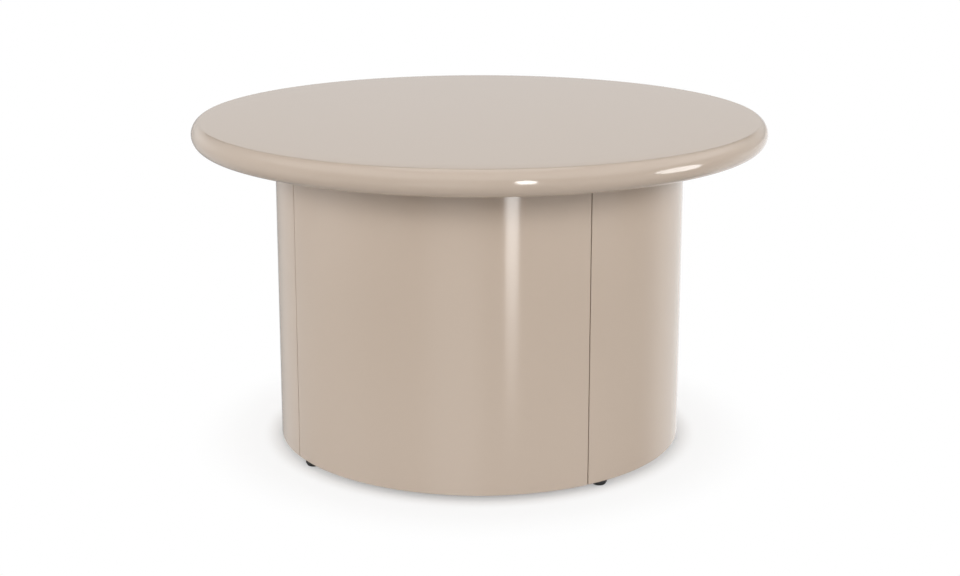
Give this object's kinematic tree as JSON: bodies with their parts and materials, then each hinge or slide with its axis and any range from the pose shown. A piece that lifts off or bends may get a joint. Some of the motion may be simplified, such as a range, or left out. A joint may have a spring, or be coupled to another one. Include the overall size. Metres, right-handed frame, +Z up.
{
  "type": "round cocktail table",
  "caption": "Round cocktail table with a nosed, overhanging lacquered top on a drum base of quarter panels, levelled by small screw-in glides.",
  "frame": {"origin": "on the floor under the centre of the round top", "axes": "+Z up along the drum's axis, -Y towards the middle of the front panel, so the seams lie on the diagonals"},
  "size_m": [0.8129, 0.8129, 0.4662],
  "materials": {
    "lacquer": "gloss taupe lacquer on fibreboard",
    "birch_plywood": "sanded plywood",
    "hardwood": "planed hardwood",
    "zinc_steel": "bright zinc plate",
    "black_nylon": "moulded, slightly rough"
  },
  "bodies": {
    "base": {"table_top": "lacquer", "drum_panel_front": "lacquer", "drum_panel_right": "lacquer", "drum_panel_back": "lacquer", "drum_panel_left": "lacquer", "upper_ring": "birch_plywood", "lower_ring": "birch_plywood", "cleat_front_left_leading": "hardwood", "cleat_front_left_trailing": "hardwood", "cleat_front_right_leading": "hardwood", "cleat_front_right_trailing": "hardwood", "cleat_back_right_leading": "hardwood", "cleat_back_right_trailing": "hardwood", "cleat_back_left_leading": "hardwood", "cleat_back_left_trailing": "hardwood", "upper_ring_screws": "zinc_steel", "lower_ring_screws": "zinc_steel", "connector_bolts": "zinc_steel", "connector_nuts": "zinc_steel", "top_bolts": "zinc_steel", "top_washers": "zinc_steel", "top_inserts": "zinc_steel", "glide_inserts": "zinc_steel"},
    "glide_front_left": {"glide_pad_front_left": "black_nylon", "glide_stud_front_left": "zinc_steel"},
    "glide_front_right": {"glide_pad_front_right": "black_nylon", "glide_stud_front_right": "zinc_steel"},
    "glide_back_right": {"glide_pad_back_right": "black_nylon", "glide_stud_back_right": "zinc_steel"},
    "glide_back_left": {"glide_pad_back_left": "black_nylon", "glide_stud_back_left": "zinc_steel"}
  },
  "joints": [
    {"name": "glide_front_left_screw", "type": "slide", "parent": "base", "child": "glide_front_left", "axis": [0, 0, -1], "range_m": [0, 0.01]},
    {"name": "glide_front_right_screw", "type": "slide", "parent": "base", "child": "glide_front_right", "axis": [0, 0, -1], "range_m": [0, 0.01]},
    {"name": "glide_back_right_screw", "type": "slide", "parent": "base", "child": "glide_back_right", "axis": [0, 0, -1], "range_m": [0, 0.01]},
    {"name": "glide_back_left_screw", "type": "slide", "parent": "base", "child": "glide_back_left", "axis": [0, 0, -1], "range_m": [0, 0.01]}
  ]
}
